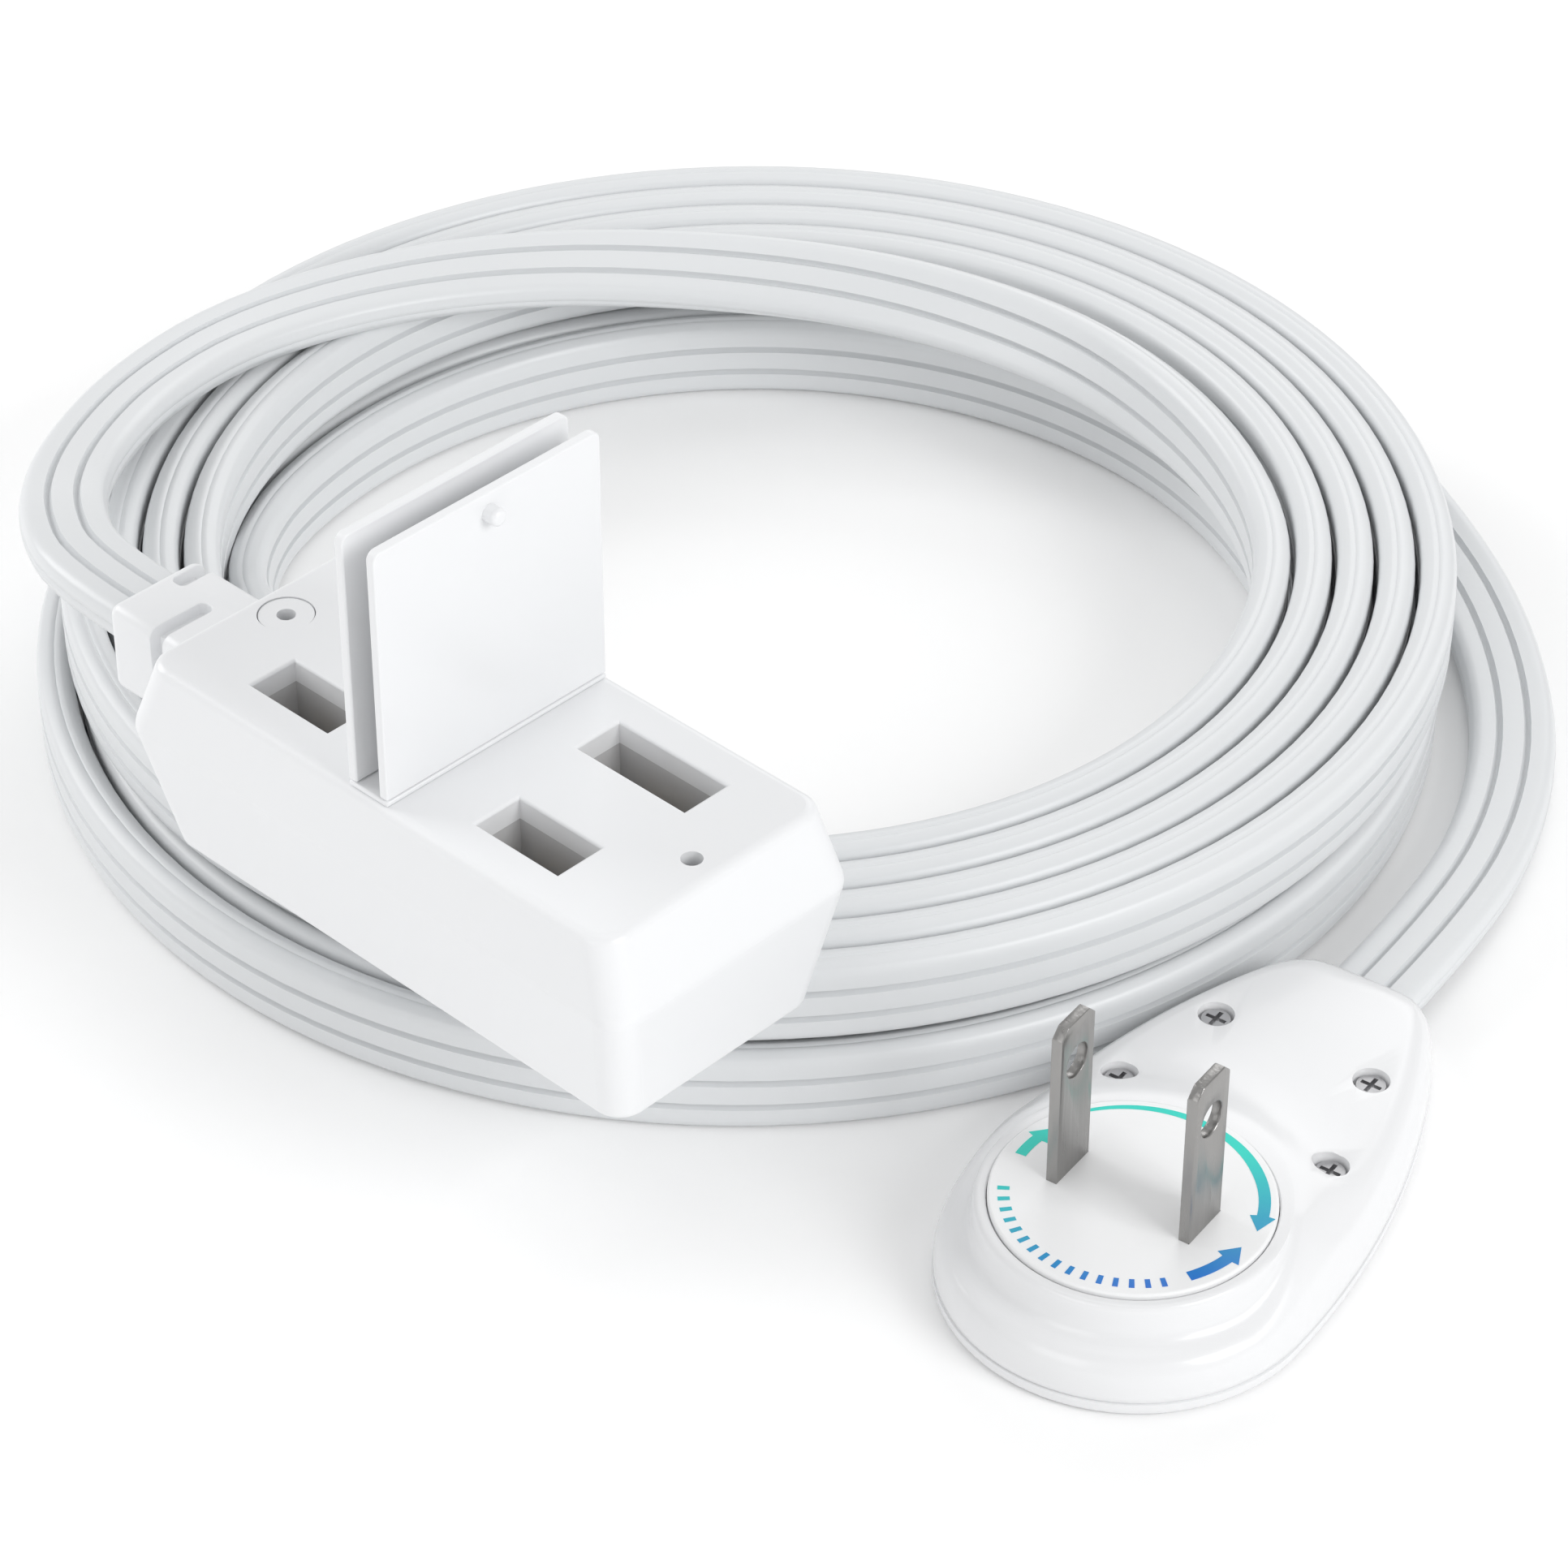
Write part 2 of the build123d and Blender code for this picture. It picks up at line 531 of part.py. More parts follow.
def blade(side):
    """A flat blade with a chamfered tip and a foot that reaches its own slip ring."""
    y = side * BLADE_SPACING / 2
    tip = ROTOR_TOP_Z + BLADE_OUT
    metal = box(-BLADE_W / 2, BLADE_W / 2, y - BLADE_T / 2, y + BLADE_T / 2, FLANGE_Z, tip)
    for edge in (-1, 1):
        corner = Pos(edge * BLADE_W / 2, y, tip) * Rot(0, 45, 0)
        metal -= corner * Box(BLADE_TIP * 2 ** 0.5, 2 * BLADE_T, BLADE_TIP * 2 ** 0.5)
    hole = Pos(0, y, ROTOR_TOP_Z + BLADE_HOLE_UP) * Rot(90, 0, 0)
    metal -= hole * Cylinder(BLADE_HOLE_R, 2 * BLADE_T)
    if side > 0:
        foot = (y - BLADE_T / 2, OUTER_RING[1] - FOOT_SHORT)
    else:
        foot = (y - BLADE_T / 2, -INNER_RING[0] - FOOT_SHORT)
    return metal + box(-BLADE_W / 2, BLADE_W / 2, *foot, FLANGE_Z, FLANGE_Z + FOOT_T)


def plug_rotor():
    body = rod(0, 0, FLANGE_Z, ROTOR_TOP_Z, ROTOR_R)
    body = fillet(body.edges().group_by(Axis.Z)[-1], ROTOR_EDGE_R)
    body += rod(0, 0, FLANGE_Z, FLANGE_Z + FLANGE_T, FLANGE_R)
    for side in (-1, 1):
        body -= blade(side)
    return body


def slip_ring(inner, outer):
    return ring(0, 0, FLANGE_Z - RING_T, FLANGE_Z, inner, outer)


def brush(side, ring_radii):
    """A static contact: lug at the core's end, strip, and a post up to its slip ring."""
    y = side * CORE_Y
    middle_r = sum(ring_radii) / 2
    x = (middle_r ** 2 - CORE_Y ** 2) ** 0.5
    low, high = y - BRUSH_W / 2, y + BRUSH_W / 2
    top = FLANGE_Z - RING_T - FLOAT
    metal = box(x - BRUSH_W / 2, BRUSH_END_X, low, high, PLUG_SEAM_Z, PLUG_SEAM_Z + BRUSH_T)
    metal += box(x - BRUSH_W / 2, x + BRUSH_W / 2, low, high, PLUG_SEAM_Z, top)
    return metal + box(BRUSH_END_X - BRUSH_LUG, BRUSH_END_X, low, high, PLUG_SEAM_Z,
                       PLUG_CAVITY_Z - FIT_GAP)


def cord_clamp():
    bar = box(CLAMP_X - CLAMP_T / 2, CLAMP_X + CLAMP_T / 2, -CLAMP_HALF, CLAMP_HALF,
              PLUG_SEAM_Z, PLUG_CAVITY_Z)
    for side in (-1, 1):
        bar -= core_in_plug(side)
    return bar


def plug_screw(x, y):
    screw = rod(x, y, PLUG_SCREW_FOOT, PLUG_HEAD_Z, PLUG_SCREW_R)
    screw += rod(x, y, PLUG_HEAD_Z, PLUG_HEAD_Z + PLUG_HEAD_H, PLUG_HEAD_R)
    top = PLUG_HEAD_Z + PLUG_HEAD_H
    return screw - cross_drive(x, y, top - DRIVE_DEPTH, top + CUT, 0.75 * PLUG_HEAD_R)


# ---------------------------------------------------------------- build every sub-part
nodes = {
    "block_cover": block_cover(),
    "block_base": block_base(),
    "contact_carrier": contact_carrier(),
    "hot_bus_bar": bus_bar(-1),
    "neutral_bus_bar": bus_bar(1),
    "block_core_hot": core_in_block(-1),
    "block_core_neutral": core_in_block(1),
    "rear_catch_disc": catch_disc(),
    "strain_relief": strain_relief(),
    "hinge_strip": hinge_strip(),
    "front_flap": flap(1, CATCH_X_FRONT, PEG_R_FRONT),
    "rear_flap": flap(-1, CATCH_X_REAR, PEG_R_REAR),
    "coil": coil(),
    "cord_lead_block": cord_tube(BLOCK_LEAD, "block lead"),
    "cord_lead_plug": cord_tube(PLUG_LEAD, "plug lead"),
    "cord_crossing": cord_tube(CROSSING, "crossing"),
    "plug_front_shell": AT_PLUG * plug_front_shell(),
    "plug_back_shell": AT_PLUG * plug_back_shell(),
    "plug_rotor": AT_PLUG * plug_rotor(),
    "rotor_retainer": AT_PLUG * ring(0, 0, RETAINER_Z, FLANGE_Z - FLOAT, RETAINER_IN_R,
                                     RETAINER_OUT_R),
    "blade_hot": AT_PLUG * blade(-1),
    "blade_neutral": AT_PLUG * blade(1),
    "slip_ring_inner": AT_PLUG * slip_ring(*INNER_RING),
    "slip_ring_outer": AT_PLUG * slip_ring(*OUTER_RING),
    "brush_inner": AT_PLUG * brush(-1, INNER_RING),
    "brush_outer": AT_PLUG * brush(1, OUTER_RING),
    "plug_core_hot": AT_PLUG * core_in_plug(-1),
    "plug_core_neutral": AT_PLUG * core_in_plug(1),
    "cord_clamp": AT_PLUG * cord_clamp(),
}
for number, (x, y) in enumerate(boss_places(), 1):
    nodes[f"base_screw_{number}"] = base_screw(x, y)
for number, (x, y) in enumerate(plug_screw_places(), 1):
    nodes[f"plug_screw_{number}"] = AT_PLUG * plug_screw(x, y)

for name, shape in nodes.items():
    export_step(shape, f"parts/{name}.step")
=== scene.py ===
# %% [markdown]
# # A flat extension cord, coiled in two tiers
# We build the cord, its outlet block and its turning plug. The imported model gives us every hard
# part at its true place and size, in metres. Blender adds what the eye judges: the ribbed cord,
# soft moulded edges, brushed blades, printed arrows and even studio light.

# %% Load the frame and keep its size
import bpy
import json
from math import atan2, cos, degrees, pi, radians, sin
from mathutils import Matrix, Vector

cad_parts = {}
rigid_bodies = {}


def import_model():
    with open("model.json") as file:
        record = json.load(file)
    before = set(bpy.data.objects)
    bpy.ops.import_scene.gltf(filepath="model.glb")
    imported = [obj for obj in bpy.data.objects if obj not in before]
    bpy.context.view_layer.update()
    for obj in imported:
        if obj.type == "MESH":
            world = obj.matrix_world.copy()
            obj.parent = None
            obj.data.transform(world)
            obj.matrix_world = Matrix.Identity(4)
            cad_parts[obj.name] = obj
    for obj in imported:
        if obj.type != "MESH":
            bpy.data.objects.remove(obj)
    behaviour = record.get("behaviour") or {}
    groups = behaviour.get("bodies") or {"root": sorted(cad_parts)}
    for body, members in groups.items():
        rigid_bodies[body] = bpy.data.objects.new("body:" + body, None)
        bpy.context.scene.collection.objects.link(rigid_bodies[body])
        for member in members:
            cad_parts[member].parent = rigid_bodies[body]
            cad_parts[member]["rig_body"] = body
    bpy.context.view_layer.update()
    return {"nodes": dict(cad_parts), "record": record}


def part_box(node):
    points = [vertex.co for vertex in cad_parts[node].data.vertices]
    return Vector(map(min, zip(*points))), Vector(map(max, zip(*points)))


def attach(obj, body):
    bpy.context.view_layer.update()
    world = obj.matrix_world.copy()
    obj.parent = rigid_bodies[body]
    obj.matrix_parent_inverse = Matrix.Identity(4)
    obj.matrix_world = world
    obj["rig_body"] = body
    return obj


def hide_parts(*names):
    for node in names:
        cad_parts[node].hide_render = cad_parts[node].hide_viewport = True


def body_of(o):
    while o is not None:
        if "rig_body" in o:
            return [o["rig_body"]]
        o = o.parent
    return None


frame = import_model()
nodes = frame["nodes"]
MM = 0.001

# %% [markdown]
# ## Camera
# The camera stands in front and to the right, looking down at the block's corner. A long lens
# keeps the coil's far side almost as large as its near side, as catalogue views do.

# %% Camera
camera_data = bpy.data.cameras.new("camera")
camera_data.sensor_width = 36
camera_data.lens = 117.1
camera_data.shift_x = 0.0026
camera_data.clip_start = 0.01
camera = bpy.data.objects.new("camera", camera_data)
bpy.context.collection.objects.link(camera)
camera.location = (0.24925, -0.22338, 0.28907)
camera.rotation_euler = (radians(90 - 37.37), 0, radians(43.93))
bpy.context.scene.camera = camera

# %% [markdown]
# ## Helpers
# Operators act on whatever is selected, so each piece starts with nothing selected. A finished
# piece has its place in its mesh and its object at the origin.


# %% Helpers for selecting and finishing
def select_only(*objects):
    """Leave only these selected, the last one active."""
    if bpy.context.mode != "OBJECT":
        bpy.ops.object.mode_set(mode="OBJECT")
    bpy.ops.object.select_all(action="DESELECT")
    for one in objects:
        one.select_set(True)
        bpy.context.view_layer.objects.active = one


def apply_all(piece):
    """Apply every modifier, in order."""
    select_only(piece)
    for modifier in list(piece.modifiers):
        bpy.ops.object.modifier_apply(modifier=modifier.name)
    return piece


def smooth(piece, angle):
    """Shade smoothly across edges flatter than this angle in degrees."""
    select_only(piece)
    bpy.ops.object.shade_smooth_by_angle(angle=radians(angle))
    return piece


# %% [markdown]
# ## The cord's route
# The cord is one length from the block to the plug. It leaves the strain relief flat, swings
# over the coil, turns on edge and winds outwards through the upper tier. Under the block it
# crosses inwards, drops to the lower tier, winds outwards again and ends in the plug. Where it
# is not wound the points are listed one by one; each turn of the coil is worked out by a loop.
# The fourth number of each point is its bank in degrees: 0 lies flat, 90 stands on edge.

# %% Cord sizes and coil centres
CORD_W = 8.1
CORD_T = 3.4
TIER_GAP = 0.6
LOWER = (-27.5, 59.6)
UPPER = (-29.2, 61.2)
LOWER_Z = CORD_W / 2
UPPER_Z = 1.5 * CORD_W + TIER_GAP
POINTS_PER_TURN = 24

block_lead = [
    (-41.8, 0, 31.0, 0), (-51.3, 0, 31.0, 0), (-60.2, 4.8, 29.0, 0), (-69.6, 12.4, 24.9, 0),
    (-77.4, 21.6, 21.8, 0), (-83.2, 32.6, 20.0, 2), (-85.4, 46.0, 19.4, 8),
    (-82.0, 61.5, 19.1, 16), (-74.2, 76.0, 18.6, 24), (-63.0, 88.8, 17.5, 33),
    (-49.5, 99.9, 16.1, 44), (-34.5, 106.0, 14.9, 56)]
crossing = [
    (12.0, 9.6, 13.6, 84), (4.0, 5.0, 16.4, 38), (-6.0, 3.4, 18.2, 0), (-18.0, 5.5, 18.3, 0),
    (-32.0, 12.0, 18.3, 0), (-45.0, 20.5, 15.8, 30)]
plug_lead = [
    (-6.0, 126.5, 3.3, 26), (12.5, 118.5, 2.1, 4), (25.5, 108.9, 1.8, 0),
    (35.5, 97.5, 1.8, 0), (42.6, 84.0, 1.9, 0), (46.63, 69.0, 2.8, 0), (48.04, 60.11, 3.0, 0)]


def around(centre, angle, radius, z, bank):
    """A point beside a coil's centre, at an angle in degrees."""
    return (centre[0] + radius * cos(radians(angle)), centre[1] + radius * sin(radians(angle)),
            z, bank)


def turns(centre, z, angle0, angle1, radius0, radius1):
    """Points on edge, from one angle to another, the radius changing evenly on the way."""
    count = round(abs(angle1 - angle0) / 360 * POINTS_PER_TURN)
    made = []
    for i in range(count + 1):
        share = i / count
        made.append(around(centre, angle0 + share * (angle1 - angle0),
                           radius0 + share * (radius1 - radius0), z, 90))
    return made


# %% The whole route
upper_in = [around(UPPER, *place)
            for place in ((81, 47.2, 13.6, 70), (63, 48.5, 13.0, 82))]
upper_turns = turns(UPPER, UPPER_Z, 45, 310 - 5 * 360, 49.9, 66.6)
lower_in = [around(LOWER, *place)
            for place in ((235, 45.0, 12.0, 60), (222, 47.5, 7.5, 80), (209, 49.8, 4.6, 88))]
lower_turns = turns(LOWER, LOWER_Z, 198, 105 - 4 * 360, 50.9, 67.6)
lower_out = [(-24.5, 128.4, 4.0, 60)]
route = (block_lead + upper_in + upper_turns + crossing + lower_in + lower_turns + lower_out
         + plug_lead)
print("route points", len(route))


# %% [markdown]
# ## Reading the route
# A NURBS spline of order 3 runs smoothly past its control points. We ask Blender for the points
# of that spline and read the bank from a second spline that has the same knots.

# %% Read points from a spline
def spline_points(controls, steps):
    """The points of a smooth NURBS curve with these control points."""
    curve = bpy.data.curves.new("route", "CURVE")
    curve.dimensions = "3D"
    curve.resolution_u = steps
    spline = curve.splines.new("NURBS")
    spline.points.add(len(controls) - 1)
    for point, place in zip(spline.points, controls):
        point.co = (*place, 1)
    spline.order_u = 3
    spline.use_endpoint_u = True
    holder = bpy.data.objects.new("route", curve)
    mesh = bpy.data.meshes.new_from_object(holder)
    points = [v.co.copy() for v in mesh.vertices]
    bpy.data.objects.remove(holder)
    bpy.data.curves.remove(curve)
    bpy.data.meshes.remove(mesh)
    return points


path = spline_points([Vector(p[:3]) * MM for p in route], 5)
banks = [p.x for p in spline_points([(radians(p[3]), 0, 0) for p in route], 5)]


# %% [markdown]
# ## The cord's section
# A flat cord of this kind has three ribs. Two narrow grooves run along each broad face, and a
# faint one runs along each thin edge. The outline is worked out from these few numbers.

# %% Section of the cord
GROOVE_AT = 0.163 * CORD_W
GROOVE_HALF = 0.042 * CORD_W
GROOVE_DEPTH = 0.62
GROOVE_STEEP = 0.45     # below 1 the groove's sides are steeper and its floor is wider
MIDDLE_CROWN = 0.045    # how far the middle rib swells
EDGE_ROUND = 1.25
EDGE_GROOVE = 0.16


def face_height(u):
    """Half thickness at u, measured across the broad face from its middle."""
    half_w = CORD_W / 2
    height = CORD_T / 2
    over = abs(u) - (half_w - EDGE_ROUND)
    if over > 0:
        height -= EDGE_ROUND - (max(EDGE_ROUND ** 2 - over ** 2, 0)) ** 0.5
    near = abs(abs(u) - GROOVE_AT) / GROOVE_HALF
    if near < 1:
        height -= GROOVE_DEPTH * (0.5 + 0.5 * cos(pi * near)) ** GROOVE_STEEP
    crown = MIDDLE_CROWN * (1 - (abs(u) / GROOVE_AT) ** 2) if abs(u) < GROOVE_AT else 0
    return height + crown


def section_outline():
    """Points round the section, in millimetres, u across and v through."""
    half_w = CORD_W / 2
    stops = [0, 0.45, 0.8, 0.98, 1.06, 1.14, 1.23, GROOVE_AT, 1.41, 1.5, 1.58, 1.66, 1.9, 2.4,
             2.85, 3.15, 3.4, 3.6, 3.76]
    top = [(-u, face_height(u)) for u in reversed(stops)] + [(u, face_height(u))
                                                            for u in stops[1:]]
    side = [(half_w - 0.10, 0.62), (half_w, 0.3), (half_w - EDGE_GROOVE, 0),
            (half_w, -0.3), (half_w - 0.10, -0.62)]
    bottom = [(u, -v) for u, v in reversed(top)]
    other = [(-u, -v) for u, v in side]
    return top + side + bottom + other


def cord_frames():
    """Centre, width direction and thickness direction at each point of the path."""
    frames = []
    for i, centre in enumerate(path):
        ahead = path[min(i + 1, len(path) - 1)]
        behind = path[max(i - 1, 0)]
        along = (ahead - behind).normalized()
        left = Vector((0, 0, 1)).cross(along).normalized()
        up = along.cross(left)
        wide = cos(banks[i]) * left + sin(banks[i]) * up
        frames.append((centre, wide, along.cross(wide).normalized()))
    return frames


def sweep_cord(name):
    """Carry the section along the path as one closed skin, capped at both ends."""
    outline = section_outline()
    count = len(outline)
    verts, faces = [], []
    for centre, wide, thick in cord_frames():
        verts += [centre + (u * wide + v * thick) * MM for u, v in outline]
    for i in range(len(path) - 1):
        for j in range(count):
            k = (j + 1) % count
            faces.append((i * count + j, i * count + k, (i + 1) * count + k, (i + 1) * count + j))
    faces.append(tuple(range(count)))
    faces.append(tuple(reversed(range((len(path) - 1) * count, len(path) * count))))
    mesh = bpy.data.meshes.new(name)
    mesh.from_pydata(verts, [], faces)
    cord_object = bpy.data.objects.new(name, mesh)
    bpy.context.collection.objects.link(cord_object)
    select_only(cord_object)
    bpy.ops.object.mode_set(mode="EDIT")
    bpy.ops.mesh.select_all(action="SELECT")
    bpy.ops.mesh.normals_make_consistent(inside=False)
    bpy.ops.object.mode_set(mode="OBJECT")
    return smooth(cord_object, 50)


cord = sweep_cord("flat_cord")
print("cord faces", len(cord.data.polygons))

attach(cord, "cord_set")
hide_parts("coil", "cord_lead_block", "cord_lead_plug", "cord_crossing")


# %% [markdown]
# ## Soft edges on the hard parts
# The CAD gives sharp corners, but moulded plastic and stamped metal catch the light on small
# rounded ones. We copy a part, weld its loose triangles, dissolve the flat ones and add a narrow
# bevel. That keeps the exact size and is quicker and truer than modelling the part again.

# %% Copy a part and soften it
def softened(node_name, width, segments=2, angle=40):
    """A copy of a part whose sharp edges are rounded by a bevel of this width in millimetres."""
    mesh = nodes[node_name].data.copy()
    piece = bpy.data.objects.new(node_name + "_soft", mesh)
    bpy.context.collection.objects.link(piece)
    select_only(piece)
    bpy.ops.object.mode_set(mode="EDIT")
    bpy.ops.mesh.select_all(action="SELECT")
    bpy.ops.mesh.remove_doubles(threshold=0.005 * MM)
    bpy.ops.mesh.dissolve_limited(angle_limit=radians(0.5))
    bpy.ops.object.mode_set(mode="OBJECT")
    bevel = piece.modifiers.new("soft edges", "BEVEL")
    bevel.width = width * MM
    bevel.segments = segments
    bevel.limit_method = "ANGLE"
    bevel.angle_limit = radians(angle)
    bevel.use_clamp_overlap = True
    apply_all(piece)
    smooth(piece, 40)
    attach(piece, body_of(nodes[node_name])[0])
    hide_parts(node_name)
    return piece


relief = softened("strain_relief", 0.55, 4)
blades = [softened(name, 0.13) for name in ("blade_hot", "blade_neutral")]
strip = softened("hinge_strip", 0.16)
plug_back = softened("plug_back_shell", 0.2)
print("softened", relief.name, strip.name, [b.name for b in blades])

# %% [markdown]
# ## The plug's front shell
# The plug is a smooth pebble: a blunt round end with a hollow step round the turning disc, which
# fades into the flat tail. No one primitive has that shape, so we run a profile out from the
# disc to the outline along many rays and blend a stepped profile into a plain one on the way.

# %% The plug's own axes and outline
CAD_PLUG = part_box("plug_rotor")
PLUG_CENTRE = Vector(((CAD_PLUG[0][0] + CAD_PLUG[1][0]) / 2,
                      (CAD_PLUG[0][1] + CAD_PLUG[1][1]) / 2, 0))
PLUG_TURN = 99.0
AT_PLUG = Matrix.Translation(PLUG_CENTRE) @ Matrix.Rotation(radians(PLUG_TURN), 4, "Z")
PLUG_R = 16.3
TAIL_L = 40.0
TAIL_CORNER = (37.4, 7.8)
TAIL_END_HALF = 5.2
SIDE_START = 92


def side_arc(steps):
    """The slow curve along one side, from the round end to the tail's corner."""
    turn = radians(SIDE_START)
    start = Vector((PLUG_R * cos(turn), PLUG_R * sin(turn)))
    inward = Vector((-cos(turn), -sin(turn)))
    reach = Vector(TAIL_CORNER) - start
    radius = reach.length_squared / (2 * inward.dot(reach))
    centre = start + inward * radius
    first = atan2(start.y - centre.y, start.x - centre.x)
    last = atan2(TAIL_CORNER[1] - centre.y, TAIL_CORNER[0] - centre.x)
    return [centre + radius * Vector((cos(a), sin(a)))
            for a in (first + (last - first) * i / steps for i in range(steps + 1))]


def plug_outline():
    """Points round the plug, anticlockwise from the tail's middle, its corners eased."""
    end = [Vector((TAIL_L, TAIL_END_HALF * i / 5)) for i in range(5)]
    corner = [Vector((TAIL_L, TAIL_END_HALF)).lerp(Vector(TAIL_CORNER), i / 4)
              for i in range(4)]
    side = list(reversed(side_arc(28)))
    round_end = [PLUG_R * Vector((cos(radians(a)), sin(radians(a))))
                 for a in range(SIDE_START + 4, 180, 4)]
    half = end + corner + side + round_end
    mirrored = [Vector((p.x, -p.y)) for p in reversed(half[1:])]
    ring = half + [Vector((-PLUG_R, 0))] + mirrored
    for _ in range(3):
        ring = [ring[i - 1] * 0.25 + ring[i] * 0.5 + ring[(i + 1) % len(ring)] * 0.25
                for i in range(len(ring))]
    return ring


def smoothstep(value):
    value = min(max(value, 0), 1)
    return value * value * (3 - 2 * value)


outline = plug_outline()
print("plug outline points", len(outline))

# %% Profiles from the disc to the outline
SEAM_Z = 1.3
COLLAR_R, COLLAR_Z = 13.1, 8.9
TAIL_Z = 7.0
RIM = PLUG_R - COLLAR_R
BORE = [(12.7, SEAM_Z), (12.7, 7.0), (12.03, 7.0), (12.03, 8.78), (12.15, 8.9)]
STEPPED = [(12.6, 8.9), (12.9, 8.83), (13.07, 8.6), (13.14, 8.2), (13.22, 7.3), (13.36, 6.4),
           (13.65, 5.85), (14.15, 5.5), (14.75, 5.3), (15.3, 5.0), (15.75, 4.5), (16.05, 3.8),
           (16.24, 2.9), (16.3, 2.0), (16.28, 1.5), (16.12, 1.32), (16.12, SEAM_Z)]
PLATEAU = [0.0, 0.02, 0.05, 0.09, 0.15, 0.24, 0.36, 0.5, 0.7, 1.0]
EDGE = [(2.4, 0.955), (1.3, 0.84), (0.55, 0.63), (0.12, 0.36), (0.0, 0.13), (0.16, 0.01),
        (0.16, 0.0)]
EDGE_START = 4.0


def profile(reach, step):
    """Points outwards from the disc; step 1 has the hollow ledge and 0 is plain."""
    room = reach - COLLAR_R
    squeeze = min(1, 0.8 * room / EDGE_START)
    flat = room - EDGE_START * squeeze
    plain = []
    for share in PLATEAU:
        away = share * flat
        plain.append((COLLAR_R - 0.5 + 0.5 * smoothstep(share * 20) + away,
                      TAIL_Z + (COLLAR_Z - TAIL_Z) * (1 - smoothstep((away + 0.6) / 7))))
    top = TAIL_Z + (COLLAR_Z - TAIL_Z) * (1 - smoothstep((flat + EDGE_START * squeeze) / 7))
    plain += [(reach - inset * squeeze, SEAM_Z + share * (top - SEAM_Z))
              for inset, share in EDGE]
    stepped = [(r if r < COLLAR_R else COLLAR_R + (r - COLLAR_R) * room / RIM, z)
               for r, z in STEPPED]
    return [(step * a[0] + (1 - step) * b[0], step * a[1] + (1 - step) * b[1])
            for a, b in zip(stepped, plain)]


STEP_FROM, STEP_OVER = 62, 48       # degrees from the tail where the ledge starts and fills in


# %% Skin the shell
def skin_shell(name):
    """One closed skin, a profile on each ray from the disc's middle to the outline."""
    rows = []
    for point in outline:
        reach = point.length
        from_tail = abs(degrees(atan2(point.y, point.x)))
        step = smoothstep((from_tail - STEP_FROM) / STEP_OVER)
        ray = point / reach
        rows.append([Vector((ray.x * r, ray.y * r, z)) for r, z in BORE + profile(reach, step)])
    across = len(rows[0])
    verts = [AT_PLUG @ (v * MM) for row in rows for v in row]
    faces = []
    for i in range(len(rows)):
        for j in range(across):
            after, beside = (i + 1) % len(rows), (j + 1) % across
            faces.append((i * across + j, after * across + j, after * across + beside,
                          i * across + beside))
    mesh = bpy.data.meshes.new(name)
    mesh.from_pydata(verts, [], faces)
    shell = bpy.data.objects.new(name, mesh)
    bpy.context.collection.objects.link(shell)
    select_only(shell)
    bpy.ops.object.mode_set(mode="EDIT")
    bpy.ops.mesh.select_all(action="SELECT")
    bpy.ops.mesh.normals_make_consistent(inside=False)
    bpy.ops.object.mode_set(mode="OBJECT")
    return shell


WELL_R = 1.62
WELL_FOOT, WELL_TOP = 5.6, 13.4     # from the screw's head to well above the shell


def screw_well(number):
    """A cutter for one screw's recess, standing over its screw."""
    low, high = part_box(f"plug_screw_{number}")
    middle = ((low[0] + high[0]) / 2, (low[1] + high[1]) / 2, (WELL_FOOT + WELL_TOP) / 2 * MM)
    select_only()
    bpy.ops.mesh.primitive_cylinder_add(vertices=40, radius=WELL_R * MM,
                                        depth=(WELL_TOP - WELL_FOOT) * MM, location=middle)
    return bpy.context.object


plug_front = skin_shell("plug_front_shell_skin")
for number in range(1, 5):
    well = screw_well(number)
    cut = plug_front.modifiers.new("well", "BOOLEAN")
    cut.object = well
    cut.solver = "EXACT"
    apply_all(plug_front)
    bpy.data.objects.remove(well)
rim = plug_front.modifiers.new("rims", "BEVEL")
rim.width = 0.12 * MM
rim.segments = 2
rim.limit_method = "ANGLE"
rim.angle_limit = radians(55)
apply_all(plug_front)
smooth(plug_front, 42)
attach(plug_front, "cord_set")
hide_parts("plug_front_shell")
print("plug front faces", len(plug_front.data.polygons))

# %% [markdown]
# ## Arrows printed on the disc
# Arrows printed near the disc's edge show that the plug turns. Each is a thin flat band: one
# short edge is spun about the disc's middle, its last edge is widened and drawn to a point.

# %% One printed arrow
PRINT_Z = 9.3 * MM
PRINT_T = 0.03 * MM


def on_disc(angle, radius):
    """A point on the disc's face, at an angle in degrees and a radius in millimetres."""
    return Vector((PLUG_CENTRE.x + radius * MM * cos(radians(angle)),
                   PLUG_CENTRE.y + radius * MM * sin(radians(angle)), PRINT_Z))


def spun_band(name, start, stop, inner, outer):
    """One radial edge, spun about the disc's middle. The last edge stays selected."""
    mesh = bpy.data.meshes.new(name)
    mesh.from_pydata([on_disc(start, inner), on_disc(start, outer)], [(0, 1)], [])
    band = bpy.data.objects.new(name, mesh)
    bpy.context.collection.objects.link(band)
    select_only(band)
    bpy.ops.object.mode_set(mode="EDIT")
    bpy.ops.mesh.select_all(action="SELECT")
    bpy.ops.mesh.spin(steps=max(3, round(abs(stop - start) / 3)), angle=radians(start - stop),
                      center=(PLUG_CENTRE.x, PLUG_CENTRE.y, PRINT_Z), axis=(0, 0, 1))
    return band


